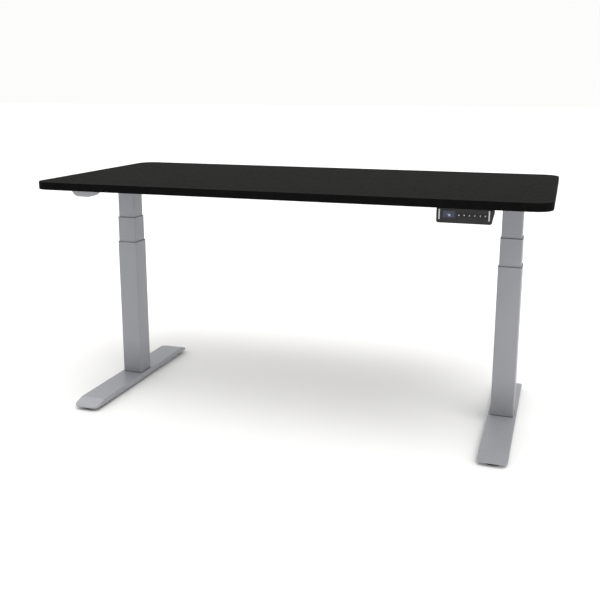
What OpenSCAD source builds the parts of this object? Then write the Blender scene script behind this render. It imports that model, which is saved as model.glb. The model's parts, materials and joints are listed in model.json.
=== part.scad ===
// Height adjustable standing desk on two three-stage lifting columns.
// Millimetres. X runs left to right, Y from the user's edge to the back, Z up from the floor.
// The origin is on the floor, below the centre of the desktop.

/* [Desktop] */
// Width of the desktop, left to right
desk_w = 1600; // [1500:10:1800]
// Depth of the desktop, front to back
desk_d = 750; // [720:5:800]
// Thickness of the desktop board
desk_t = 24; // [22:1:28]
// Radius of the desktop's corners, seen from above
corner_r = 55; // [20:1:80]
// Thickness of the plastic edge band
band_t = 2; // [1:0.5:3]
// Height of the desktop's upper face above the floor, as drawn
desk_h = 780; // [780:1:790]

/* [Lift] */
// Travel of one column stage downwards from the drawn height
stage_drop = 80; // [60:1:80]
// Travel of one column stage upwards from the drawn height
stage_rise = 235; // [200:1:235]

/* [Columns] */
// Distance between the centre lines of the two columns
leg_span = 1350; // [1240:2:1360]
// Distance from the desktop's centre line back to the columns
leg_back = 24; // [0:1:30]
// Side of the outer tube's square section
outer_s = 73; // [73:1:75]
// Side of the middle tube's square section
middle_s = 68; // [68:1:68]
// Side of the inner tube's square section
inner_s = 63; // [63:1:63]
// Wall of the column tubes
tube_t = 1.5; // [1.5:0.1:1.5]
// Outside corner radius of the column tubes
tube_r = 4; // [3:0.5:5]
// Height of the outer tube's upper rim above the floor
outer_top = 527; // [525:1:530]
// Height of the middle tube's upper rim above the floor, as drawn
middle_top = 617; // [614:1:620]

/* [Feet] */
// Length of a foot, front to back
foot_l = 694; // [640:2:720]
// Width of a foot
foot_w = 88; // [80:1:96]
// Height of a foot's upper face above the floor
foot_top = 30; // [30:1:32]
// Height of a foot's lower edge above the floor
foot_edge = 12; // [11:1:13]
// Length of the slope at each end of a foot
foot_slope = 50; // [30:1:70]
// Distance that a foot's middle lies in front of its column
foot_ahead = 14; // [0:1:30]
// Diameter of a levelling foot's pad
pad_d = 64; // [40:1:70]
// Screw travel of a levelling foot
level_travel = 10; // [6:1:10]

/* [Handset] */
// Distance from the desktop's centre to the handset's centre
handset_x = 569; // [500:1:600]
// Width of the handset
handset_w = 150; // [146:1:156]
// Height of the handset's front panel
handset_h = 40; // [40:1:44]
// Distance between neighbouring keys
key_pitch = 14.1; // [14:0.1:15]
// Travel of a key
key_travel = 0.8; // [0.4:0.1:1]

/* [Hidden] */
$fn = 48;

SIDES = [-1, 1];
SIDE_NAMES = ["left", "right"];
KEY_NAMES = ["up", "down", "one", "two", "three", "memory"];
LEG_NODES = [
    "foot", "foot_bolts", "leveller_front", "leveller_rear",
    "outer_column", "outer_glides", "support_tube", "support_nut",
    "middle_column", "middle_glides", "guide_tube", "guide_nut",
    "hollow_screw", "drive_screw",
    "inner_column", "head_plate", "gearbox", "motor", "side_bracket"
];

// Colours
STEEL_GREY = [0.60, 0.61, 0.63];
CHARCOAL = [0.18, 0.18, 0.18];
NEAR_BLACK = [0.07, 0.07, 0.075];
ZINC = [0.72, 0.72, 0.70];
BRONZE = [0.72, 0.55, 0.32];

// Fasteners: radius of the shank, radius of the head and height of the head
M8 = [4, 6.5, 5];
M6 = [3, 5.5, 3.3];
WOOD_5 = [2.5, 5, 2.5];
WOOD_4 = [2, 4, 2];
bite = 14;                // length of a wood screw inside the board

// General fits
cut = 1;                  // how far a cutting shape runs past the face that it opens
slide_gap = 0.3;          // gap between a tube and the bush that guides it
run_gap = 0.05;           // radial clearance of a running fit

// Heights under the desktop
under = desk_h - desk_t;
iso_t = 2;
pad_r = 6;
frame_top = under - iso_t;
tray_floor = under - 33;
sheet_t = 2.5;
head_t = 6;
head_z = tray_floor - head_t;
leg_x = leg_span / 2;

// Column stages
rim_t = 2;
bush_l = 60;
slider_l = 30;
clear_end = 8;            // space left between two parts at the end of their travel
base_t = 8;
base_z = foot_top + base_t;
cap_t = 6;
middle_bottom = base_z + stage_drop + clear_end;
inner_bottom = middle_bottom + cap_t + stage_drop + 13;

// Drive, from the axis outwards: drive screw, hollow screw, support tube, guide tube
drive_r = 6;
hollow_in_r = 6.4;
hollow_r = 9.5;
support_in_r = 10;
support_r = 12;
guide_in_r = 12.6;
guide_r = 15.5;
guide_head_r = 18;
collar_r = 13.4;
nut_r = 11;
nut_l = 22;
collar_l = 12;
hollow_bottom = base_z + stage_drop + 10;
support_nut_z = hollow_bottom + stage_rise + 3;
ledge_z = support_nut_z + nut_l + stage_drop + 6;
guide_nut_z = ledge_z + collar_l;
guide_top = guide_nut_z + nut_l - 6;
drive_bottom = guide_nut_z - stage_rise - 8;
thrust_l = 10;
gear_bottom = guide_top + stage_drop + 2 * clear_end;
gear_l = 38;
gear_r = 26;
motor_r = 24;
motor_top = head_z - 4;
stub_r = 5;
stub_l = 12;
lead_r = 2.5;
lead_hole_r = 4;

// Side bracket, a pressed tray with a screw flange
tray_edge_r = 18;
tray_draft = 23.3;        // slope of the tray's walls from the vertical, in degrees
centre_half = 37;         // half the width of the floor over the column, before its edge is rounded
centre_len = 180;
arm_half = 25;            // half the width of the floor of the shallow arms
arm_len = 564;            // length of the arms' floor, before its ends are rounded
arm_floor = under - 14;
pocket_len = 54;          // length of the deep front end of the left bracket
pocket_y = -275;
pocket_out = 3;           // how far that end lies outwards of the column's centre line
pocket_rim = [104, 102];
flange_w = 132;
flange_l = arm_len + 28;
bolt_x = 15;
bolt_y = 40;
TAB_Y = [-272, -130, 130, 272];

// Rails between the side brackets
rail_w = 50;
rail_h = 28;
rail_off = 60;
rail_top = frame_top - sheet_t;
rail_end = leg_x - flange_w / 2 - 2;
rail_t = 2;
tongue_l = 12;
rail_screw_in = 5;
rail_screw_y = 15;

// Feet
pad_h = foot_edge - 2;
boss_r = 9;
boss_lift = 1;            // height of a threaded boss's lower end above the foot's lower edge
stud_r = 5;
wall_t = 3;
foot_r = 18;              // corner radius of a foot, seen from above
foot_lip = 4;             // height of the upright edge at a foot's tips
pad_in = 47;              // distance from a foot's tip to its levelling screw
foot_bolt_at = 22;

// Control box and leads
box_w = 280;
box_d = 120;
box_h = 38;
box_t = 2.5;
ear_t = 3;
box_y = leg_back + 156;
inlet_x = 60;
inlet_w = 30;
inlet_h = 24;
inlet_depth = 14;
box_top = under;
lead_y = leg_back + 126;
lead_z = tray_floor + 10;
key_lead_r = 2;
handset_lead_z = under - key_lead_r - 0.3;
lead_sides = 10;
bend_size = 12;           // distance from a lead's corner to the ends of its bend

// Handset
front_y = -desk_d / 2 + 3;
panel_t = 3;
panel_r = 6;
handset_d = 98;
wing_t = 14;              // thickness of the handset's rear part, which the screws hold
belly_h = 31;             // height of the handset's deepest part, behind its panel
panel_z = under - handset_h - 0.5;
key_w = 11.4;
key_h = 13;
key_depth = 6;
key_proud = 0.4;
key_x0 = handset_x - 13.6;
key_z = panel_z + 22.8;
window_x = handset_x - 41;
window_w = 33;
window_h = 19;
window_z = panel_z + 24;
strip_x = 67;
strip_w = 3.8;
strip_h = 28;
strip_t = 0.6;

// ---------- general shapes ----------

module rounded(w, d, r) {
    square([w - 2 * r, d], center = true);
    square([w, d - 2 * r], center = true);
    for (x = [-1, 1], y = [-1, 1])
        translate([x * (w / 2 - r), y * (d / 2 - r)]) circle(r);
}

module block(w, d, h, r, z = 0)
    translate([0, 0, z]) linear_extrude(h) rounded(w, d, r);

module rod(r, z0, z1)
    translate([0, 0, z0]) cylinder(r = r, h = z1 - z0);

module sleeve(r_out, r_in, z0, z1)
    difference() {
        rod(r_out, z0, z1);
        rod(r_in, z0 - cut, z1 + cut);
    }

module square_tube(s, t, r, z0, z1)
    difference() {
        block(s, s, z1 - z0, r, z0);
        block(s - 2 * t, s - 2 * t, z1 - z0 + 2 * cut, max(r - t, 0.5), z0 - cut);
    }

module at_leg(side) translate([side * leg_x, leg_back, 0]) children();

// Screw of a size, with its head below z = 0 and its shank along +Z
module screw(size, l)
    union() {
        cylinder(r = size[0], h = l);
        difference() {
            translate([0, 0, -size[2]]) cylinder(r = size[1], h = size[2]);
            translate([0, 0, -size[2] - cut])
                cylinder(r = size[0] * 0.8, h = cut + size[2] * 0.6, $fn = 6);
        }
    }

// Stretches an outline given in (y, z) along X, or one given in (x, z) along Y
module along_x(w) rotate([90, 0, 90]) linear_extrude(w, center = true) children();
module along_y(l) rotate([90, 0, 0]) linear_extrude(l, center = true) children();

// ---------- feet ----------

// Side view of a foot: level top, a slope at each end down to a short lip
module foot_side(inset, lip)
    polygon([
        [-foot_l / 2 + inset, foot_edge - (inset > 0 ? cut : 0)],
        [-foot_l / 2 + inset, foot_edge + lip],
        [-foot_l / 2 + foot_slope + inset / 2, foot_top - inset],
        [foot_l / 2 - foot_slope - inset / 2, foot_top - inset],
        [foot_l / 2 - inset, foot_edge + lip],
        [foot_l / 2 - inset, foot_edge - (inset > 0 ? cut : 0)]
    ]);

module foot_solid(inset)
    intersection() {
        block(foot_w - 2 * inset, foot_l - 2 * inset, foot_top, foot_r - inset, 0);
        along_x(foot_w) foot_side(inset, foot_lip - inset);
    }

module at_pads() for (y = [-1, 1]) translate([0, y * (foot_l / 2 - pad_in) - foot_ahead, 0]) children();

module at_foot_bolts()
    for (x = [-1, 1], y = [-1, 1]) translate([x * foot_bolt_at, y * foot_bolt_at, 0]) children();

module foot(side)
    color(STEEL_GREY) at_leg(side) difference() {
        union() {
            difference() {
                translate([0, -foot_ahead, 0]) foot_solid(0);
                translate([0, -foot_ahead, 0]) foot_solid(wall_t);
            }
            intersection() {
                at_pads() rod(boss_r, foot_edge + boss_lift, foot_top);
                translate([0, -foot_ahead, 0]) foot_solid(wall_t / 2);
            }
            block(outer_s + 6, outer_s + 30, wall_t, 3, foot_top - 2 * wall_t);
        }
        at_pads() rod(stud_r + run_gap, 0, foot_top - wall_t);
        at_foot_bolts() rod(M8[0], 0, foot_top + cut);
    }

module foot_bolts(side)
    color(ZINC) at_leg(side) at_foot_bolts()
        translate([0, 0, foot_top - 2 * wall_t]) screw(M8, 2 * wall_t + base_t - 2);

module leveller(side, y)
    color(NEAR_BLACK) at_leg(side)
        translate([0, y * (foot_l / 2 - pad_in) - foot_ahead, 0]) union() {
            rotate_extrude() polygon([
                [0, 0], [pad_d / 2 - 1.5, 0], [pad_d / 2, 1.5],
                [pad_d / 2, pad_h - 3], [pad_d / 2 - 3, pad_h], [0, pad_h]
            ]);
            rod(stud_r, pad_h - 1, foot_edge + boss_lift + level_travel + 3);
        }

// ---------- column tubes ----------

module outer_column(side)
    color(STEEL_GREY) at_leg(side) difference() {
        union() {
            square_tube(outer_s, tube_t, tube_r, foot_top, outer_top - rim_t);
            block(outer_s - 2 * tube_t, outer_s - 2 * tube_t, base_t, tube_r - tube_t, foot_top);
        }
        at_foot_bolts() rod(M8[0], foot_top - cut, base_z + cut);
    }

module bush(hole_s, tube_s, rim_s, top)
    difference() {
        union() {
            block(hole_s, hole_s, bush_l, tube_r - tube_t, top - bush_l);
            block(rim_s, rim_s, rim_t, tube_r, top - rim_t);
        }
        block(
            tube_s + 2 * slide_gap, tube_s + 2 * slide_gap,
            bush_l + 2 * cut, tube_r - tube_t - 0.5, top - bush_l - cut
        );
    }

module outer_glides(side)
    color(CHARCOAL) at_leg(side)
        bush(outer_s - 2 * tube_t, middle_s, outer_s, outer_top);

module middle_column(side)
    color(STEEL_GREY) at_leg(side) difference() {
        union() {
            square_tube(middle_s, tube_t, tube_r, middle_bottom, middle_top - rim_t);
            block(
                middle_s - 2 * tube_t, middle_s - 2 * tube_t,
                cap_t, tube_r - tube_t, middle_bottom
            );
        }
        rod(guide_in_r, middle_bottom - cut, middle_bottom + cap_t + cut);
    }

module middle_glides(side)
    color(CHARCOAL) at_leg(side) {
        bush(middle_s - 2 * tube_t, inner_s, middle_s, middle_top);
        difference() {
            block(
                outer_s - 2 * tube_t - 2 * slide_gap, outer_s - 2 * tube_t - 2 * slide_gap,
                slider_l, tube_r, middle_bottom
            );
            block(middle_s, middle_s, slider_l + 2 * cut, tube_r, middle_bottom - cut);
        }
    }

module inner_column(side)
    color(STEEL_GREY) at_leg(side)
        square_tube(inner_s, tube_t, tube_r, inner_bottom, head_z);

// ---------- lifting drive ----------

module support_tube(side)
    color(ZINC) at_leg(side) sleeve(support_r, support_in_r, base_z, support_nut_z);

module support_nut(side)
    color(BRONZE) at_leg(side)
        sleeve(support_r, hollow_r + run_gap, support_nut_z, support_nut_z + nut_l);

module guide_tube(side)
    color(ZINC) at_leg(side) difference() {
        union() {
            rod(guide_r, middle_bottom + cap_t, guide_top);
            rod(guide_head_r, ledge_z - 8, guide_top);
        }
        rod(guide_in_r, middle_bottom, ledge_z);
        rod(collar_r + run_gap, ledge_z, guide_nut_z);
        rod(nut_r, guide_nut_z - cut, guide_top + cut);
    }

module guide_nut(side)
    color(BRONZE) at_leg(side) sleeve(nut_r, drive_r + run_gap, guide_nut_z, guide_top);

module hollow_screw(side)
    color(ZINC) at_leg(side) difference() {
        union() {
            rod(hollow_r, hollow_bottom, guide_nut_z - 0.2);
            rod(collar_r, ledge_z + 0.2, guide_nut_z - 0.2);
        }
        rod(hollow_in_r, hollow_bottom - cut, guide_nut_z + cut);
    }

module drive_screw(side)
    color(ZINC) at_leg(side) union() {
        rod(drive_r, drive_bottom, gear_bottom - 0.5);
        rod(stub_r * 2, gear_bottom - thrust_l, gear_bottom - 0.5);
        rod(stub_r, gear_bottom - 1, gear_bottom + stub_l);
    }

module gearbox(side)
    color(ZINC) at_leg(side) difference() {
        rod(gear_r, gear_bottom, gear_bottom + gear_l);
        rod(stub_r + run_gap, gear_bottom - cut, gear_bottom + stub_l + 0.3);
    }

module motor(side)
    color(CHARCOAL) at_leg(side) union() {
        rod(motor_r, gear_bottom + gear_l, motor_top - 6);
        rod(motor_r - 6, motor_top - 6, motor_top);
    }

module head_plate(side)
    color(STEEL_GREY) at_leg(side) difference() {
        block(inner_s + 10, 2 * bolt_y + 20, head_t, 8, head_z);
        rod(lead_hole_r, head_z - cut, tray_floor + cut);
        at_head_bolts() rod(M6[0], head_z - cut, tray_floor + cut);
    }

module at_head_bolts()
    for (x = [-1, 1], y = [-1, 1]) translate([x * bolt_x, y * bolt_y, 0]) children();

// ---------- frame under the desktop ----------

// Section of a pressed tray: a floor, two round lower edges and two sloping walls up to a height
function wall_x(r, half, rise) =
    half - tray_edge_r * tan((90 - tray_draft) / 2) + r * cos(tray_draft)
    + (rise - tray_edge_r + r * sin(tray_draft)) * tan(tray_draft);

function tray_half_section(half, r, low, top) = concat(
    [for (i = [0 : 8])
        let (a = -90 + i * (90 - tray_draft) / 8)
        [
            half - tray_edge_r * tan((90 - tray_draft) / 2) + r * cos(a),
            low + tray_edge_r + r * sin(a)
        ]],
    [[wall_x(r, half, top - low), top]]
);

module tray_section(half, low, inset, top) {
    half_points = tray_half_section(half, tray_edge_r - inset, low, top);
    polygon(concat(
        half_points,
        [for (i = [len(half_points) - 1 : -1 : 0]) [-half_points[i][0], half_points[i][1]]]
    ));
}

module tray(half, len, low, inset, top)
    intersection() {
        along_y(2 * len) tray_section(half, low, inset, top);
        along_x(flange_w) tray_section(len / 2, low, inset, top);
    }

module at_pocket() translate([-pocket_out, pocket_y, 0]) children();

// A deep box over the column and a shallow arm to the front and back; the left bracket's
// front arm ends in a deep pocket too
module tray_solid(side, inset, top) {
    tray(centre_half, centre_len, tray_floor, inset, top);
    tray(arm_half, arm_len, arm_floor, inset, top);
    if (side < 0) at_pocket() tray(arm_half, pocket_len, tray_floor, inset, top);
}

module at_tabs()
    for (x = [-1, 1], y = TAB_Y) translate([x * (flange_w / 2 - 6), y, 0]) children();

module at_rail_screws()
    for (y = [-1, 1], dy = [-1, 1])
        translate([flange_w / 2 - rail_screw_in, y * rail_off + dy * rail_screw_y, 0]) children();

module side_bracket(side)
    color(STEEL_GREY) at_leg(side) mirror([side > 0 ? 1 : 0, 0, 0]) difference() {
        union() {
            tray_solid(side, 0, frame_top);
            block(flange_w, flange_l, sheet_t, 14, frame_top - sheet_t);
            if (side < 0) at_pocket()
                block(pocket_rim[0], pocket_rim[1], sheet_t, 14, frame_top - sheet_t);
        }
        tray_solid(side, sheet_t, frame_top + cut);
        rod(lead_hole_r, tray_floor - cut, tray_floor + sheet_t + cut);
        at_head_bolts() rod(M6[0], tray_floor - cut, tray_floor + sheet_t + cut);
        at_tabs() rod(WOOD_5[0], rail_top - cut, frame_top + cut);
        at_rail_screws() rod(M6[0], rail_top - cut, frame_top + cut);
        translate([0, 0, lead_z]) rotate([-90, 0, 0])
            cylinder(r = lead_hole_r, h = centre_len / 2 + tray_edge_r);
    }

module rail(y)
    color(STEEL_GREY) translate([0, leg_back + y * rail_off, 0]) difference() {
        union() {
            difference() {
                translate([-rail_end, -rail_w / 2, rail_top - rail_h])
                    cube([2 * rail_end, rail_w, rail_h]);
                translate([-rail_end - cut, -rail_w / 2 + rail_t, rail_top - rail_h + rail_t])
                    cube([2 * (rail_end + cut), rail_w - 2 * rail_t, rail_h - 2 * rail_t]);
            }
            translate([-rail_end - tongue_l, -rail_w / 2, rail_top - rail_t])
                cube([2 * (rail_end + tongue_l), rail_w, rail_t]);
        }
        for (side = SIDES, dy = [-1, 1])
            translate([side * (leg_x - flange_w / 2 + rail_screw_in), dy * rail_screw_y, 0])
                rod(M6[0], rail_top - rail_t - cut, rail_top + cut);
    }

module frame_screws()
    color(ZINC) for (side = SIDES) at_leg(side) mirror([side > 0 ? 1 : 0, 0, 0]) {
        at_rail_screws() translate([0, 0, rail_top - rail_t]) screw(M6, rail_t + sheet_t);
        at_head_bolts() translate([0, 0, tray_floor + sheet_t]) rotate([180, 0, 0])
            screw(M6, sheet_t + head_t);
    }

module at_box_screws()
    for (x = [-1, 1]) translate([x * (box_w / 2 + 8), box_y, 0]) children();

module at_handset_screws()
    for (x = [-1, 1]) translate([handset_x + x * 45, front_y + handset_d - 8, 0]) children();

module desktop_screws()
    color(ZINC) {
        for (side = SIDES) at_leg(side) at_tabs()
            translate([0, 0, rail_top]) screw(WOOD_5, under - rail_top + bite);
        at_box_screws() translate([0, 0, box_top - ear_t]) screw(WOOD_4, ear_t + bite);
        at_handset_screws() translate([0, 0, under - wing_t]) screw(WOOD_4, wing_t + bite);
    }

module isolation_pads()
    color(NEAR_BLACK) for (side = SIDES) at_leg(side) at_tabs()
        sleeve(pad_r, WOOD_5[0], frame_top, under);

// ---------- desktop ----------

module desktop_board()
    color(CHARCOAL) difference() {
        block(desk_w - 2 * band_t, desk_d - 2 * band_t, desk_t, corner_r - band_t, under);
        for (side = SIDES) at_leg(side) at_tabs() rod(WOOD_5[0], under - cut, under + bite);
        at_box_screws() rod(WOOD_4[0], under - cut, under + bite);
        at_handset_screws() rod(WOOD_4[0], under - cut, under + bite);
    }

module edge_band()
    color(NEAR_BLACK) difference() {
        block(desk_w, desk_d, desk_t, corner_r, under);
        block(
            desk_w - 2 * band_t, desk_d - 2 * band_t,
            desk_t + 2 * cut, corner_r - band_t, under - cut
        );
    }

// ---------- control box and leads ----------

module control_box()
    color(CHARCOAL) difference() {
        union() {
            translate([0, box_y, 0]) block(box_w, box_d, box_h, 8, box_top - box_h);
            at_box_screws() block(24, 24, ear_t, 5, box_top - ear_t);
        }
        translate([0, box_y, 0]) block(
            box_w - 2 * box_t, box_d - 2 * box_t,
            box_h - box_t + cut, 6, box_top - box_h + box_t
        );
        at_box_screws() rod(WOOD_4[0], box_top - ear_t - cut, box_top + cut);
        translate([inlet_x, box_y + box_d / 2, box_top - box_h / 2])
            cube([inlet_w, 2 * inlet_depth, inlet_h], center = true);
        for (side = SIDES)
            translate([side * box_w / 2, lead_y, lead_z]) rotate([0, 90, 0])
                cylinder(r = lead_r, h = 20, center = true);
        translate([box_w / 2, lead_y + 40, lead_z]) rotate([0, 90, 0])
            cylinder(r = key_lead_r, h = 20, center = true);
    }

module control_board()
    color([0.1, 0.35, 0.2]) translate([0, box_y, 0]) union() {
        block(box_w - 24, box_d - 44, 1.6, 3, box_top - box_h + 8);
        translate([-90, -14, box_top - box_h + 9]) cube([52, 40, 20]);
        for (x = [-14, 12]) translate([x, 6, 0]) rod(9, box_top - box_h + 9, box_top - 8);
        translate([40, -22, box_top - box_h + 9]) cube([60, 12, 12]);
    }

// Mains inlet: a flanged recess with three flat pins
module power_inlet()
    color(NEAR_BLACK) translate([inlet_x, box_y + box_d / 2, box_top - box_h / 2]) union() {
        difference() {
            union() {
                translate([-inlet_w / 2, -inlet_depth, -inlet_h / 2])
                    cube([inlet_w, inlet_depth, inlet_h]);
                translate([-inlet_w / 2 - 3, 0, -inlet_h / 2 - 2])
                    cube([inlet_w + 6, 2, inlet_h + 4]);
            }
            translate([-12, 2 - inlet_depth, -8.5]) cube([24, inlet_depth + cut, 17]);
        }
        for (p = [[-7, -2], [0, 3], [7, -2]])
            translate([p[0] - 1, 1.5 - inlet_depth, p[1] - 2]) cube([2, 7, 4]);
    }

// A lead's centre line: straight runs, with each corner rounded off as a parabola
function corner(a, b, c) =
    let (u = (a - b) / norm(a - b), v = (c - b) / norm(c - b))
    [for (i = [0 : 4])
        let (t = i / 4)
        pow(1 - t, 2) * (b + bend_size * u) + 2 * t * (1 - t) * b + t * t * (b + bend_size * v)];

function route(points) = concat(
    [points[0]],
    [for (i = [1 : len(points) - 2]) each corner(points[i - 1], points[i], points[i + 1])],
    [points[len(points) - 1]]
);

function heading(path, i) =
    let (run = path[min(i + 1, len(path) - 1)] - path[max(i - 1, 0)]) run / norm(run);

// Circle of points round a place on the centre line; no lead runs along [1, 2, 3]
function ring(centre, along, r) =
    let (u = cross(along, [1, 2, 3]) / norm(cross(along, [1, 2, 3])), v = cross(along, u))
    [for (k = [0 : lead_sides - 1])
        let (a = 360 * k / lead_sides)
        centre + r * cos(a) * u + r * sin(a) * v];

module lead(points, r) {
    path = route(points);
    last = len(path) - 1;
    n = lead_sides;
    polyhedron(
        points = [for (i = [0 : last]) each ring(path[i], heading(path, i), r)],
        faces = concat(
            [[for (k = [0 : n - 1]) k]],
            [for (i = [0 : last - 1], k = [0 : n - 1])
                [i * n + k, (i + 1) * n + k, (i + 1) * n + (k + 1) % n, i * n + (k + 1) % n]],
            [[for (k = [n - 1 : -1 : 0]) last * n + k]]
        )
    );
}

module cable_harness()
    color(NEAR_BLACK) {
        for (side = SIDES)
            lead([
                [side * leg_x, leg_back, motor_top],
                [side * leg_x, leg_back, lead_z],
                [side * leg_x, lead_y, lead_z],
                [side * (box_w / 2 - 2), lead_y, lead_z]
            ], lead_r);
        lead([
            [handset_x, front_y + handset_d, handset_lead_z],
            [handset_x, lead_y + 20, handset_lead_z],
            [handset_x, lead_y + 40, lead_z],
            [box_w / 2 - 2, lead_y + 40, lead_z]
        ], key_lead_r);
    }

// Clip with a flat base under the board and a saddle round a lead
module clip(r, drop)
    difference() {
        union() {
            translate([-5, -7, -3]) cube([10, 14, 3]);
            translate([-5, -r - 1.6, -drop]) cube([10, 2 * r + 3.2, drop]);
            translate([0, 0, -drop]) rotate([0, 90, 0]) cylinder(r = r + 1.6, h = 10, center = true);
        }
        translate([0, 0, -drop]) rotate([0, 90, 0]) cylinder(r = r, h = 12, center = true);
    }

module cable_clips()
    color(NEAR_BLACK) {
        for (x = [-480, -320, -200, 200, 320, 480])
            translate([x, lead_y, under]) clip(lead_r, under - lead_z);
        for (x = [240, 400, 520])
            translate([x, lead_y + 40, under]) clip(key_lead_r, under - lead_z);
    }

// ---------- handset ----------

module key_outline(grow)
    rounded(key_w + 2 * grow, key_h + 2 * grow, 1.6 + grow);

// Stands a front-view outline up at the handset's face, and gives it a depth towards the back
module facing(x, z, y0, depth)
    translate([x, y0 + depth, z]) rotate([90, 0, 0]) linear_extrude(depth) children();

module handset_body()
    color(CHARCOAL) difference() {
        translate([handset_x, 0, 0]) along_x(handset_w) polygon([
            [front_y + panel_t, panel_z + 4],
            [front_y + panel_t + 3, panel_z + 1],
            [front_y + 36, under - belly_h],
            [front_y + handset_d - 22, under - belly_h + 6],
            [front_y + handset_d - 16, under - wing_t],
            [front_y + handset_d, under - wing_t],
            [front_y + handset_d, under],
            [front_y + panel_t, under]
        ]);
        translate([handset_x - handset_w / 2 + 3, front_y, panel_z + 10])
            cube([handset_w - 6, key_depth + key_travel + 2, handset_h - 14]);
        at_handset_screws() rod(WOOD_4[0], under - wing_t - cut, under + cut);
    }

module handset_panel()
    color(CHARCOAL) difference() {
        facing(handset_x, panel_z + handset_h / 2, front_y, panel_t)
            rounded(handset_w, handset_h, panel_r);
        facing(window_x, window_z, front_y - cut, panel_t + 2 * cut)
            square([window_w, window_h], center = true);
        for (i = [0 : 5])
            facing(key_x0 + i * key_pitch, key_z, front_y - cut, panel_t + 2 * cut)
                key_outline(slide_gap);
    }

module display_window()
    color([0.27, 0.31, 0.43])
        facing(window_x, window_z, front_y + 0.4, panel_t - 0.4)
            square([window_w, window_h], center = true);

module handset_strips()
    color([0.85, 0.85, 0.86]) for (x = [-1, 1])
        facing(handset_x + x * strip_x, panel_z + 23.5, front_y - strip_t, strip_t)
            rounded(strip_w, strip_h, 1);

module button(i)
    color(NEAR_BLACK) union() {
        facing(key_x0 + i * key_pitch, key_z, front_y - key_proud, key_depth) key_outline(0);
        facing(key_x0 + i * key_pitch, key_z, front_y + panel_t + slide_gap, 1.2) key_outline(1);
    }

// ---------- assembly ----------

module leg_part(side, part) {
    if (part == "foot") foot(side);
    if (part == "foot_bolts") foot_bolts(side);
    if (part == "leveller_front") leveller(side, -1);
    if (part == "leveller_rear") leveller(side, 1);
    if (part == "outer_column") outer_column(side);
    if (part == "outer_glides") outer_glides(side);
    if (part == "support_tube") support_tube(side);
    if (part == "support_nut") support_nut(side);
    if (part == "middle_column") middle_column(side);
    if (part == "middle_glides") middle_glides(side);
    if (part == "guide_tube") guide_tube(side);
    if (part == "guide_nut") guide_nut(side);
    if (part == "hollow_screw") hollow_screw(side);
    if (part == "drive_screw") drive_screw(side);
    if (part == "inner_column") inner_column(side);
    if (part == "head_plate") head_plate(side);
    if (part == "gearbox") gearbox(side);
    if (part == "motor") motor(side);
    if (part == "side_bracket") side_bracket(side);
}

for (s = [0, 1], part = LEG_NODES)
    leg_part(SIDES[s], part);

for (i = [0 : 5])
    button(i);

desktop_board();
edge_band();
rail(-1);  // front_rail
rail(1);  // rear_rail
frame_screws();
desktop_screws();
isolation_pads();
control_box();
control_board();
power_inlet();
cable_harness();
cable_clips();
handset_body();
handset_panel();
display_window();
handset_strips();
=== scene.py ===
"""Looks of the height adjustable standing desk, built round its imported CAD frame.

Metres, in the CAD frame: X left to right, Y from the user's edge to the back, Z up.
"""

import json
import math

import bmesh
import bpy
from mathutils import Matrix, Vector

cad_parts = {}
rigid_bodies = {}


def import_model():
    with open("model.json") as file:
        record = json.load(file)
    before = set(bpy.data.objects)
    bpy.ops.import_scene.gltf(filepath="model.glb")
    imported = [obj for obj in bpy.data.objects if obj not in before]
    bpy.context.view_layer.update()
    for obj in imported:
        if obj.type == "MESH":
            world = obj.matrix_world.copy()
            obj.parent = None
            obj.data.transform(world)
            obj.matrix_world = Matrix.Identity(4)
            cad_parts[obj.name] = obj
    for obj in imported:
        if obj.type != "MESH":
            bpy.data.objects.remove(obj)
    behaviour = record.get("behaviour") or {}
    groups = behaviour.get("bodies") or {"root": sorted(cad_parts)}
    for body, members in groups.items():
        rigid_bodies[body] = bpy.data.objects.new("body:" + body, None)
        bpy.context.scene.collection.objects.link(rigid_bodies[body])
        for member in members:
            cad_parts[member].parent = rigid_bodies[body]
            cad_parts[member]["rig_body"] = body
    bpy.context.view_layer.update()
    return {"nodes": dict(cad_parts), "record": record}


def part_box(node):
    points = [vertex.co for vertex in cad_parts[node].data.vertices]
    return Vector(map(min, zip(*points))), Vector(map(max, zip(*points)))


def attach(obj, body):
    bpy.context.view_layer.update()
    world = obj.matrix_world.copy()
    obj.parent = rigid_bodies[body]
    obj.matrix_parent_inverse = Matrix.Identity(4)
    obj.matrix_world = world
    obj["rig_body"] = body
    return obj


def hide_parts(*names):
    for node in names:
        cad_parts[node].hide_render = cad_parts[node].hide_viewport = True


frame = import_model()
NODES = frame["nodes"]
SIDES = ("left", "right")
KEYS = ("up", "down", "one", "two", "three", "memory")
MM = 0.001

# ---------------------------------------------------------------- sizes and tones

FRAME_TINT = (0.955, 0.975, 1.05)
LAMINATE_TINT = (1.02, 1.0, 0.965)
PAINT_TONE = 0.292
FLECK_TONE = 0.302
PAINTED_SHADE_TONE = 0.205            # painted shade: the tone an outer tube's paint darkens to at its foot
SHADOW_LINE_TONE = 0.07              # a painted shadow line where the tube meets the foot
COLUMN_SHADE_TOP = 0.155      # height where the painted shade on an outer tube starts, darkening downwards
COLUMN_SHADE_FOOT = 0.03      # the foot's top, where the painted shade is darkest
SHADOW_LINE_SOLID = 1.5 * MM         # the painted shadow line is solid up to here, above the foot's top
SHADOW_LINE_FADED = 4.0 * MM         # and has faded out here

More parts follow.
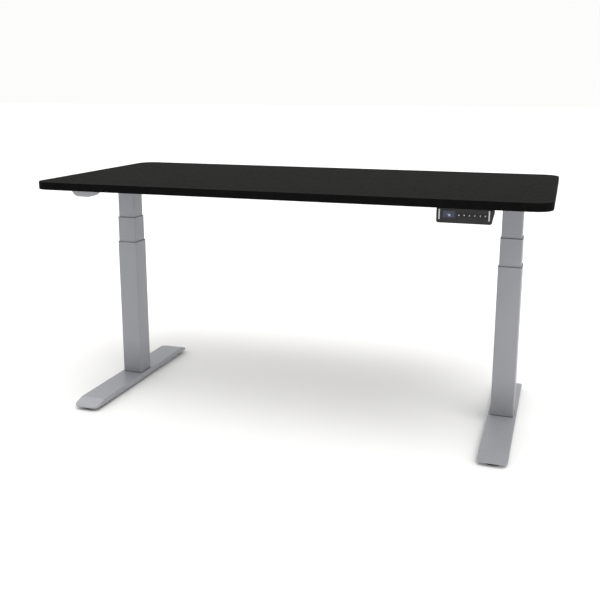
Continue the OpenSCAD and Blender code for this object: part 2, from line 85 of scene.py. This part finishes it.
MERGE_WITHIN = 1e-6           # vertices nearer than this are one
FLAT_WITHIN = 0.6             # degrees that neighbouring faces of one flat side may differ by
DESK_CORNER = 55 * MM
DESK_ARRIS = 1.2 * MM
DESK_CORNER_STEPS = 20
DESK_ARRIS_STEPS = 4
BOARD_SEAM = 0.15 * MM        # bevel on the laminate where it meets the edge band
FOOT_EDGE = 1.2 * MM
TUBE_EDGE = 1.8 * MM
SMALL_EDGE = 0.8 * MM         # pressed sheet, moulded boxes and levelling feet
KEY_EDGE = 0.5 * MM
HANDSET_CORNER = 5 * MM       # radius of the handset body's lower corners
HANDSET_CORNER_REACH = 26 * MM

PRINT_PROUD = 0.12 * MM       # how far symbols and digits stand out, and as far in
SYMBOL_HALF = 1.9 * MM
ARROW_BASE = 0.8              # an arrow's base, as a share of the half size
RING_HOLE = 0.62
RING_STEPS = 24
NUMERAL_WIDTH = 2.6 * MM
NUMERAL_HEIGHT = 4.2 * MM
NUMERAL_STROKE = 0.7 * MM
ONE_BARS = (                  # the numeral one's bars: middle, width and height
    (0, 0, 1.1 * MM, NUMERAL_HEIGHT),
    (-0.8 * MM, 1.2 * MM, 1.4 * MM, 0.9 * MM),
    (0, -1.7 * MM, 3.0 * MM, 0.9 * MM),
)
DIGITS = "78"
DIGIT_WIDTH = 3.5 * MM
DIGIT_HEIGHT = 5.6 * MM
DIGIT_STROKE = 0.85 * MM
DIGIT_PITCH = 4.6 * MM
DIGIT_LEFT = 2.2 * MM         # the first digit's place, left of the window's middle
DIGIT_DROP = 2.4 * MM         # the digits' place, below the window's middle
SEGMENTS = {"2": "abged", "3": "abgcd", "7": "abc", "8": "abcdefg"}
SEGMENT_GAP = 0.12            # gap between two segments, as a share of their stroke

# Each light: the way towards it, its strength and its width in degrees.
SOFTBOX = {"direction": (0.3, -0.4, 1.0), "energy": 1.15, "spread": 40}
FILL = {"direction": (1.0, -0.1, 0.25), "energy": 0.20, "spread": 60}
SHEEN = {"direction": (-0.26, 0.28, 0.92), "energy": 2.15, "spread": 36}
ROOM_COLOUR = (1.0, 0.997, 0.99, 1)
ROOM_STRENGTH = 0.98
FLOOR_HALF = 40

# ---------------------------------------------------------------- camera

CAMERA_AT = (0.8307, -2.6002, 1.0820)
CAMERA_YAW = 18.32        # degrees, turned to the left of straight back
CAMERA_PITCH = 12.17      # degrees, below the horizon
CAMERA_LENS = 49.3
CAMERA_SHIFT = (0.0054, -0.0625)


def make_camera():
    data = bpy.data.cameras.new("camera")
    data.lens = CAMERA_LENS
    data.shift_x, data.shift_y = CAMERA_SHIFT
    camera = bpy.data.objects.new("camera", data)
    camera.location = CAMERA_AT
    camera.rotation_euler = (math.radians(90 - CAMERA_PITCH), 0, math.radians(CAMERA_YAW))
    bpy.context.scene.collection.objects.link(camera)
    bpy.context.scene.camera = camera


# ---------------------------------------------------------------- materials


class Recipe:
    """A material under construction, with short calls for its nodes."""

    def __init__(self, name, roughness, metallic=0.0, specular=0.5):
        self.material = bpy.data.materials.new(name)
        self.material.use_nodes = True
        self.nodes = self.material.node_tree.nodes
        self.links = self.material.node_tree.links
        self.shader = self.nodes["Principled BSDF"]
        self.shader.inputs["Roughness"].default_value = roughness
        self.shader.inputs["Metallic"].default_value = metallic
        self.shader.inputs["Specular IOR Level"].default_value = specular
        self.place = self.nodes.new("ShaderNodeTexCoord").outputs["Object"]
        self.height = None

    def stretched(self, scale):
        """The object's own coordinates, scaled along each axis."""
        node = self.nodes.new("ShaderNodeMapping")
        node.inputs["Scale"].default_value = scale
        self.links.new(self.place, node.inputs["Vector"])
        return node.outputs["Vector"]

    def noise(self, scale, detail=3.0, rough=0.55, stretch=(1, 1, 1)):
        node = self.nodes.new("ShaderNodeTexNoise")
        node.inputs["Scale"].default_value = scale
        node.inputs["Detail"].default_value = detail
        node.inputs["Roughness"].default_value = rough
        self.links.new(self.stretched(stretch), node.inputs["Vector"])
        return node.outputs["Fac"]

    def cells(self, scale, feature="F1"):
        node = self.nodes.new("ShaderNodeTexVoronoi")
        node.feature = feature
        node.inputs["Scale"].default_value = scale
        self.links.new(self.place, node.inputs["Vector"])
        return node.outputs["Distance"]

    def up(self):
        """Height above the floor."""
        node = self.nodes.new("ShaderNodeSeparateXYZ")
        self.links.new(self.place, node.inputs["Vector"])
        return node.outputs["Z"]

    def ramp(self, value, stops):
        node = self.nodes.new("ShaderNodeValToRGB")
        elements = node.color_ramp.elements
        while len(elements) < len(stops):
            elements.new(0.5)
        for element, (position, colour) in zip(elements, stops):
            element.position = position
            element.color = (*colour, 1)
        self.links.new(value, node.inputs["Fac"])
        return node.outputs["Color"]

    def spread(self, value, low, high, start=0.3, end=0.7):
        """Maps a value between start and end onto low to high, and stops there."""
        node = self.nodes.new("ShaderNodeMapRange")
        for key, number in (
            ("From Min", start), ("From Max", end), ("To Min", low), ("To Max", high)
        ):
            node.inputs[key].default_value = number
        self.links.new(value, node.inputs["Value"])
        return node.outputs["Result"]

    def mixed(self, first, second, share):
        """Blends two colour outputs by a value output, 0 for the first and 1 for the second."""
        node = self.nodes.new("ShaderNodeMix")
        node.data_type = "RGBA"
        self.links.new(share, node.inputs[0])
        self.links.new(first, node.inputs[6])
        self.links.new(second, node.inputs[7])
        return node.outputs[2]

    def colour(self, output):
        self.links.new(output, self.shader.inputs["Base Color"])

    def rough(self, output):
        self.links.new(output, self.shader.inputs["Roughness"])

    def bump(self, output, strength, distance):
        """Adds relief on top of any relief that the material already has."""
        node = self.nodes.new("ShaderNodeBump")
        node.inputs["Strength"].default_value = strength
        node.inputs["Distance"].default_value = distance
        self.links.new(output, node.inputs["Height"])
        if self.height is not None:
            self.links.new(self.height, node.inputs["Normal"])
        self.height = node.outputs["Normal"]
        self.links.new(self.height, self.shader.inputs["Normal"])


def grey(value, tint=(1, 1, 1)):
    return tuple(value * t for t in tint)


def shades(recipe, value, middle, swing, tint=(1, 1, 1)):
    """A colour that wanders about a middle value, by a share either way."""
    low, high = middle * (1 - swing), middle * (1 + swing)
    return recipe.ramp(value, [(0.3, grey(low, tint)), (0.7, grey(high, tint))])


def frame_paint(name, painted_foot_shade=False):
    """Silver-grey powder coat: fine orange peel, a metallic fleck, small drifts of tone.

    With painted foot shade it darkens downwards to a painted shadow line. Both are painted shade,
    standing in for the shade seen where an outer tube meets its foot, which the lights alone don't
    give.
    """
    m = Recipe(name, roughness=0.42, specular=0.45)
    drift = shades(m, m.noise(5, 2), PAINT_TONE, 0.03, FRAME_TINT)
    fleck = shades(m, m.noise(2600, 1), FLECK_TONE, 0.16, FRAME_TINT)
    paint = m.mixed(drift, fleck, m.spread(m.noise(900, 2), 0.15, 0.5))
    # painted shade darkening the paint towards the foot, and a painted shadow line at the foot's
    # top
    if painted_foot_shade:
        painted_shade = shades(m, m.noise(60, 4), PAINTED_SHADE_TONE, 0.06, FRAME_TINT)
        # the painted shadow line, fading out just above the foot's top
        painted_shadow_line = shades(m, m.noise(90, 3), SHADOW_LINE_TONE, 0.10, FRAME_TINT)
        shadow_line_from, shadow_line_to = COLUMN_SHADE_FOOT + SHADOW_LINE_SOLID, COLUMN_SHADE_FOOT + SHADOW_LINE_FADED
        above_painted_shade = m.spread(m.up(), 0.0, 1.0, COLUMN_SHADE_FOOT, COLUMN_SHADE_TOP)
        paint = m.mixed(painted_shade, paint, above_painted_shade)
        paint = m.mixed(painted_shadow_line, paint, m.spread(m.up(), 0.0, 1.0, shadow_line_from, shadow_line_to))
    m.colour(paint)
    m.rough(m.spread(m.noise(38, 3), 0.37, 0.47))
    m.bump(m.noise(620, 2), 0.10, 0.00025)
    m.bump(m.cells(1500, "SMOOTH_F1"), 0.06, 0.0001)
    return m.material


def laminate():
    """Charcoal laminate: a pearl grain pressed into it, and a faint cloud of shade."""
    m = Recipe("desk_laminate", roughness=0.6, specular=0.002)
    cloud = shades(m, m.noise(3.2, 4), 0.0141, 0.05, LAMINATE_TINT)
    grain = shades(m, m.noise(950, 3), 0.0143, 0.14, LAMINATE_TINT)
    m.colour(m.mixed(cloud, grain, m.spread(m.noise(240, 2), 0.25, 0.6)))
    m.rough(m.spread(m.noise(60, 3), 0.54, 0.66))
    m.bump(m.noise(780, 4, 0.6), 0.22, 0.0002)
    m.bump(m.cells(1300), 0.10, 0.0001)
    return m.material


def plastic(name, value, swing, roughness, grain, tint=(1, 1, 1), specular=0.35):
    """Moulded plastic with a fine spark-eroded grain."""
    depth = 0.00012
    m = Recipe(name, roughness=roughness, specular=specular)
    m.colour(shades(m, m.noise(55, 3), value, swing, tint))
    m.rough(m.spread(m.noise(140, 2), roughness - 0.05, roughness + 0.07))
    m.bump(m.cells(grain), 0.22, depth)
    m.bump(m.noise(grain * 0.6, 3), 0.15, depth)
    return m.material


def rubber(name, value):
    """Rubber: matte, mottled, with a soft bloom."""
    m = Recipe(name, roughness=0.78, specular=0.25)
    bloom = shades(m, m.noise(90, 5), value * 1.5, 0.2)
    body = shades(m, m.noise(25, 2), value, 0.15)
    m.colour(m.mixed(body, bloom, m.spread(m.noise(30, 4), 0.0, 0.5)))
    m.rough(m.spread(m.noise(200, 2), 0.7, 0.85))
    m.bump(m.noise(900, 3), 0.2, 0.00015)
    return m.material


def machined(name, colour, roughness, brush=(1, 1, 40)):
    """Turned or plated metal: fine tool lines, and patches where the plating dulls."""
    m = Recipe(name, roughness=roughness, metallic=1.0)
    tint = tuple(c / max(colour) for c in colour)
    m.colour(shades(m, m.noise(70, 4), max(colour), 0.12, tint))
    lines = m.noise(160, 2, 0.6, brush)
    m.rough(m.spread(lines, roughness - 0.07, roughness + 0.1))
    m.bump(lines, 0.12, 0.0001)
    return m.material


def circuit():
    """Solder mask: green lacquer with broad traces under it."""
    m = Recipe("circuit_green", roughness=0.35, specular=0.5)
    traces = m.noise(420, 0, 0.3, (1, 8, 1))
    m.colour(m.ramp(traces, [(0.47, (0.012, 0.10, 0.035)), (0.53, (0.02, 0.16, 0.06))]))
    m.bump(traces, 0.15, 0.0001)
    return m.material


def display_glass():
    """Tinted window: slate blue and glossy, with a faint unevenness of tone."""
    m = Recipe("display_blue", roughness=0.16, specular=0.35)
    m.colour(shades(m, m.noise(60, 2), 0.040, 0.14, (0.72, 0.86, 1.45)))
    m.rough(m.spread(m.noise(300, 3), 0.12, 0.22))
    m.bump(m.noise(500, 2), 0.03, 0.00005)
    return m.material


def marking(name, colour, glow):
    """Printed symbols and lit digits: a tone that is slightly uneven, and may glow."""
    m = Recipe(name, roughness=0.4, specular=0.3)
    tint = tuple(c / max(colour) for c in colour)
    m.colour(shades(m, m.noise(1500, 2), max(colour), 0.06, tint))
    m.shader.inputs["Emission Color"].default_value = (*colour, 1)
    m.shader.inputs["Emission Strength"].default_value = glow
    m.bump(m.noise(2500, 1), 0.05, 0.00003)
    return m.material


def trim():
    """Silver-white trim: satin lacquer with a very fine metallic grain."""
    m = Recipe("strip_white", roughness=0.3, metallic=0.1, specular=0.5)
    m.colour(shades(m, m.noise(2200, 2), 0.42, 0.05, (0.99, 1.0, 1.02)))
    m.rough(m.spread(m.noise(300, 2), 0.26, 0.36))
    m.bump(m.noise(1800, 2), 0.05, 0.00004)
    return m.material


def make_materials():
    """Every slot's material. A plastic's numbers are tone, swing of tone, roughness and grain."""
    return {
        "frame_paint": frame_paint("frame_paint"),
        # the outer tubes' paint, with painted shade and a painted shadow line towards the foot
        "column_paint_painted_shade": frame_paint("column_paint_painted_shade", painted_foot_shade=True),
        "desk_laminate": laminate(),
        "edge_plastic": plastic("edge_plastic", 0.0045, 0.15, 0.55, 900, specular=0.008),
        "glide_black": plastic("glide_black", 0.014, 0.2, 0.55, 700),
        "glide_grey": plastic("glide_grey", 0.12, 0.1, 0.55, 900, tint=(0.97, 0.98, 1.03)),
        "box_plastic": plastic("box_plastic", 0.02, 0.12, 0.5, 800),
        "inlet_black": plastic("inlet_black", 0.012, 0.15, 0.45, 1000),
        "clip_black": plastic("clip_black", 0.014, 0.15, 0.45, 1000),
        "handset_plastic": plastic("handset_plastic", 0.0215, 0.10, 0.5, 1300, specular=0.18),
        "handset_shell": plastic("handset_shell", 0.014, 0.10, 0.6, 1300, specular=0.03),
        "key_plastic": plastic("key_plastic", 0.0175, 0.1, 0.45, 1500, specular=0.18),
        "pad_rubber": rubber("pad_rubber", 0.015),
        "cable_black": rubber("cable_black", 0.014),
        "zinc": machined("zinc", (0.62, 0.62, 0.60), 0.32),
        "screw_steel": machined("screw_steel", (0.50, 0.50, 0.50), 0.28),
        "bronze": machined("bronze", (0.62, 0.46, 0.24), 0.33),
        "gear_cast": machined("gear_cast", (0.50, 0.50, 0.50), 0.45, (1, 1, 1)),
        "motor_black": plastic("motor_black", 0.02, 0.1, 0.35, 600),
        "circuit_green": circuit(),
        "display_blue": display_glass(),
        "strip_white": trim(),
        "symbols": marking("symbols", (0.62, 0.63, 0.66), 0.0),
        "digits": marking("digits", (0.55, 0.60, 0.72), 0.12),
    }


# ---------------------------------------------------------------- meshes


def add_piece(name, mesh, body, material, smooth_angle=32):
    """Links a mesh as a named piece, smooth but for edges sharper than an angle, on a body."""
    piece = bpy.data.objects.new(name, mesh)
    bpy.context.scene.collection.objects.link(piece)
    mesh.materials.clear()
    mesh.materials.append(material)
    for face in mesh.polygons:
        face.use_smooth = True
    mesh.set_sharp_from_angle(angle=math.radians(smooth_angle))
    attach(piece, body)
    return piece


def apply_modifiers(piece):
    """Makes the piece's mesh what its modifiers show."""
    graph = bpy.context.evaluated_depsgraph_get()
    mesh = bpy.data.meshes.new_from_object(piece.evaluated_get(graph))
    piece.modifiers.clear()
    piece.data = mesh


def round_lower_ends(bm, node, radius, reach):
    """Rounds the edges of a node's two ends, up to a reach above its lowest point."""
    low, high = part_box(node)
    slack = 0.1 * MM
    edges = [
        edge for edge in bm.edges
        if all(vert.co.z < low.z + reach for vert in edge.verts)
        and any(all(abs(vert.co.x - end) < slack for vert in edge.verts) for end in (low.x, high.x))
    ]
    bmesh.ops.bevel(bm, geom=edges, offset=radius, segments=6, profile=0.5, affect="EDGES")


def rounded_copy(node, width, segments=3, angle=30, material=None, lower_ends=None):
    """Replaces a CAD node by a copy whose edges are rounded where faces turn by more than an angle.

    The material is the node's slot's unless another is named. lower_ends is a radius and a reach
    for round_lower_ends, where the copy gets that too.
    """
    source = NODES[node]
    body = source["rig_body"]
    slot = SLOT_OF[node]
    bm = bmesh.new()
    bm.from_mesh(source.data)
    bmesh.ops.remove_doubles(bm, verts=bm.verts, dist=MERGE_WITHIN)
    bmesh.ops.dissolve_limit(
        bm, angle_limit=math.radians(FLAT_WITHIN), verts=bm.verts, edges=bm.edges,
        use_dissolve_boundaries=False,
    )
    if lower_ends is not None:
        round_lower_ends(bm, node, *lower_ends)
    mesh = bpy.data.meshes.new(node + "_rounded")
    bm.to_mesh(mesh)
    bm.free()
    piece = add_piece(node + "_rounded", mesh, body, MATERIALS[material or slot], angle)
    bevel = piece.modifiers.new("bevel", "BEVEL")
    bevel.width = width
    bevel.segments = segments
    bevel.limit_method = "ANGLE"
    bevel.angle_limit = math.radians(angle)
    bevel.use_clamp_overlap = True
    bevel.harden_normals = True
    apply_modifiers(piece)
    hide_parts(node)


def corner_path(half_x, half_y, radius, steps):
    """Points and outward directions round a rectangle with round corners, anticlockwise."""
    path = []
    for quarter, (sx, sy) in enumerate(((1, 1), (-1, 1), (-1, -1), (1, -1))):
        for i in range(steps + 1):
            a = math.radians(90 * (quarter + i / steps))
            out = Vector((math.cos(a), math.sin(a)))
            centre = Vector((sx * (half_x - radius), sy * (half_y - radius)))
            path.append((centre + radius * out, out))
    return path


def swept_ring(name, path, section, slot, body):
    """Sweeps a closed section, given as (outward, up) pairs, round a path."""
    bm = bmesh.new()
    rings = []
    for point, out in path:
        rings.append([
            bm.verts.new((point.x + u * out.x, point.y + u * out.y, v)) for u, v in section
        ])
    for a, b in zip(rings, rings[1:] + rings[:1]):
        for i in range(len(section)):
            j = (i + 1) % len(section)
            bm.faces.new((a[i], b[i], b[j], a[j]))
    bmesh.ops.recalc_face_normals(bm, faces=bm.faces)
    mesh = bpy.data.meshes.new(name)
    bm.to_mesh(mesh)
    bm.free()
    return add_piece(name, mesh, body, MATERIALS[slot])


def arc(centre, radius, start, end, steps):
    """Points along an arc, from a start angle to an end angle in degrees."""
    angles = [math.radians(start + (end - start) * i / steps) for i in range(steps + 1)]
    return [(centre[0] + radius * math.cos(a), centre[1] + radius * math.sin(a)) for a in angles]


def make_desktop():
    """The board with its laminate, and the edge band with its scraped round arrises."""
    low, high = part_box("edge_band")
    inner_low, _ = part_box("desktop_board")
    band = inner_low.x - low.x
    path = corner_path(high.x, high.y, DESK_CORNER, DESK_CORNER_STEPS)
    section = (
        [(-band, low.z)]
        + arc((-DESK_ARRIS, low.z + DESK_ARRIS), DESK_ARRIS, -90, 0, DESK_ARRIS_STEPS)
        + arc((-DESK_ARRIS, high.z - DESK_ARRIS), DESK_ARRIS, 0, 90, DESK_ARRIS_STEPS)
        + [(-band, high.z)]
    )
    ring = swept_ring("edge_band_rounded", path, section, "edge_plastic", "top")
    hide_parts("edge_band")

    bm = bmesh.new()
    inner = corner_path(high.x - band, high.y - band, DESK_CORNER - band, DESK_CORNER_STEPS)
    rows = [(0.0, low.z), (0.0, high.z - BOARD_SEAM), (-BOARD_SEAM, high.z)]
    rings = [
        [bm.verts.new((p.x + u * o.x, p.y + u * o.y, z)) for p, o in inner] for u, z in rows
    ]
    count = len(inner)
    for a, b in zip(rings, rings[1:]):
        for i in range(count):
            j = (i + 1) % count
            bm.faces.new((a[i], a[j], b[j], b[i]))
    bm.faces.new(rings[-1])
    bm.faces.new(list(reversed(rings[0])))
    mesh = bpy.data.meshes.new("desktop_board_finished")
    bm.to_mesh(mesh)
    bm.free()
    laminate_look = MATERIALS["desk_laminate"]
    board = add_piece("desktop_board_finished", mesh, "top", laminate_look)
    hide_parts("desktop_board")


# ---------------------------------------------------------------- handset symbols


def flat_shape(bm, outline, y, depth):
    """A thin plate with a given (x, z) outline, whose face towards the user is at y."""
    front = [bm.verts.new((x, y, z)) for x, z in outline]
    back = [bm.verts.new((x, y + depth, z)) for x, z in outline]
    bm.faces.new(front)
    bm.faces.new(list(reversed(back)))
    for i in range(len(outline)):
        j = (i + 1) % len(outline)
        bm.faces.new((front[j], front[i], back[i], back[j]))


def bar(cx, cz, width, height):
    """A hexagonal bar with pointed ends along its longer side, as in a segment display."""
    w, h = width / 2, height / 2
    if width > height:
        points = [(-w, 0), (-w + h, -h), (w - h, -h), (w, 0), (w - h, h), (-w + h, h)]
    else:
        points = [(0, -h), (w, -h + w), (w, h - w), (0, h), (-w, h - w), (-w, -h + w)]
    return [(cx + x, cz + z) for x, z in points]


def digit_outlines(character, cx, cz, width, height, thick):
    """The lit bars of one digit."""
    gap = thick * SEGMENT_GAP
    top, side = (height - thick) / 2, (width - thick) / 2
    level, upright = 2 * side - 2 * gap, top - 2 * gap
    places = {
        "a": (0, top, level, thick),
        "g": (0, 0, level, thick),
        "d": (0, -top, level, thick),
        "b": (side, top / 2, thick, upright),
        "f": (-side, top / 2, thick, upright),
        "c": (side, -top / 2, thick, upright),
        "e": (-side, -top / 2, thick, upright),
    }
    shapes = []
    for segment in SEGMENTS[character]:
        x, z, w, h = places[segment]
        shapes.append(bar(cx + x, cz + z, w, h))
    return shapes


def printed_piece(name, shapes, face_y, body, material):
    """A piece made of thin plates with given outlines, half sunk in a face towards the user."""
    bm = bmesh.new()
    for outline in shapes:
        flat_shape(bm, outline, face_y - PRINT_PROUD, 2 * PRINT_PROUD)
    bmesh.ops.recalc_face_normals(bm, faces=bm.faces)
    mesh = bpy.data.meshes.new(name)
    bm.to_mesh(mesh)
    bm.free()
    return add_piece(name, mesh, body, material)


def circle(cx, cz, radius, steps):
    angles = [2 * math.pi * i / steps for i in range(steps)]
    return [(cx + radius * math.cos(a), cz + radius * math.sin(a)) for a in angles]


def symbol_shapes(key, cx, cz):
    """Generic symbol on a key: arrows, numerals, and a ring for the memory key."""
    size, base = SYMBOL_HALF, SYMBOL_HALF * ARROW_BASE
    if key == "up":
        return [[(cx - size, cz - base), (cx + size, cz - base), (cx, cz + size)]]
    if key == "down":
        return [[(cx - size, cz + base), (cx, cz - size), (cx + size, cz + base)]]
    if key == "memory":
        outer = circle(cx, cz, size, RING_STEPS)
        inner = circle(cx, cz, size * RING_HOLE, RING_STEPS)
        return [
            [outer[i - 1], outer[i], inner[i], inner[i - 1]] for i in range(RING_STEPS)
        ]
    if key == "one":
        return [bar(cx + x, cz + z, width, height) for x, z, width, height in ONE_BARS]
    number = {"two": "2", "three": "3"}[key]
    return digit_outlines(number, cx, cz, NUMERAL_WIDTH, NUMERAL_HEIGHT, NUMERAL_STROKE)


def make_handset():
    for key in KEYS:
        node = "button_" + key
        rounded_copy(node, KEY_EDGE, 2)
        low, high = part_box(node)
        cx, cz = (low.x + high.x) / 2, (low.z + high.z) / 2
        shapes = symbol_shapes(key, cx, cz)
        printed_piece("symbol_" + key, shapes, low.y, node, MATERIALS["symbols"])
    low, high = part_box("display_window")
    cx, cz = (low.x + high.x) / 2, (low.z + high.z) / 2
    digits = []
    for i, character in enumerate(DIGITS):
        digit_x = cx + i * DIGIT_PITCH - DIGIT_LEFT
        digits += digit_outlines(
            character, digit_x, cz - DIGIT_DROP, DIGIT_WIDTH, DIGIT_HEIGHT, DIGIT_STROKE
        )
    printed_piece("display_digits", digits, low.y, "top", MATERIALS["digits"])
    for node, width in (
        ("handset_panel", 0.7 * MM), ("display_window", 0.3 * MM), ("handset_strips", 0.25 * MM)
    ):
        rounded_copy(node, width, 2)
    rounded_copy(
        "handset_body", SMALL_EDGE, 2, material="handset_shell",
        lower_ends=(HANDSET_CORNER, HANDSET_CORNER_REACH),
    )


# ---------------------------------------------------------------- frame pieces


def make_frame_pieces():
    for side in SIDES:
        rounded_copy(f"{side}_foot", FOOT_EDGE, angle=10)
        # the outer tubes take the paint with painted shade at the foot
        rounded_copy(f"{side}_outer_column", TUBE_EDGE, 2, material="column_paint_painted_shade")
        rounded_copy(f"{side}_side_bracket", SMALL_EDGE, 2)
        for end in ("front", "rear"):
            rounded_copy(f"{side}_leveller_{end}", SMALL_EDGE, 2)
    for node in ("front_rail", "rear_rail", "control_box", "power_inlet"):
        rounded_copy(node, SMALL_EDGE, 2)


def dress_cad_nodes():
    """Gives the CAD nodes that still show their slots' materials."""
    for name, node in NODES.items():
        if not node.hide_render:
            node.data.materials.clear()
            node.data.materials.append(MATERIALS[SLOT_OF[name]])


# ---------------------------------------------------------------- studio


def studio_floor():
    mesh = bpy.data.meshes.new("studio_floor")
    corners = [
        (sx * FLOOR_HALF, sy * FLOOR_HALF, 0) for sx, sy in ((-1, -1), (1, -1), (1, 1), (-1, 1))
    ]
    mesh.from_pydata(corners, [], [(0, 1, 2, 3)])
    floor = bpy.data.objects.new("studio_floor", mesh)
    bpy.context.scene.collection.objects.link(floor)
    m = Recipe("studio_floor", roughness=0.9, specular=0.0)
    m.colour(m.ramp(m.noise(0.4, 1), [(0.3, (0.955, 0.952, 0.945)), (0.7, (0.965, 0.962, 0.955))]))
    mesh.materials.append(m.material)


def broad_light(name, direction, energy, spread):
    """A soft light very far away in a direction, a given number of degrees wide."""
    data = bpy.data.lights.new(name, "SUN")
    data.energy = energy
    data.angle = math.radians(spread)
    light = bpy.data.objects.new(name, data)
    light.rotation_euler = Vector(direction).to_track_quat("Z", "Y").to_euler()
    bpy.context.scene.collection.objects.link(light)
    return light


def studio_light():
    """An even white room, a softbox high in front and a weak fill at the right.

    The sheen, high behind, shows only in reflections, and is there for the feet's slopes.
    """
    world = bpy.data.worlds.new("studio")
    world.use_nodes = True
    background = world.node_tree.nodes["Background"]
    background.inputs["Color"].default_value = ROOM_COLOUR
    background.inputs["Strength"].default_value = ROOM_STRENGTH
    bpy.context.scene.world = world
    broad_light("softbox", **SOFTBOX)
    broad_light("fill", **FILL)
    sheen = broad_light("sheen", **SHEEN)
    sheen.visible_diffuse = False
    bpy.context.scene.view_settings.view_transform = "Standard"


# ---------------------------------------------------------------- the scene

MATERIALS = make_materials()
SLOT_OF = {row["node"]: row["material_slot"] for row in frame["record"]["subparts"]}

make_camera()
make_desktop()
make_frame_pieces()
make_handset()
dress_cad_nodes()
studio_floor()
studio_light()
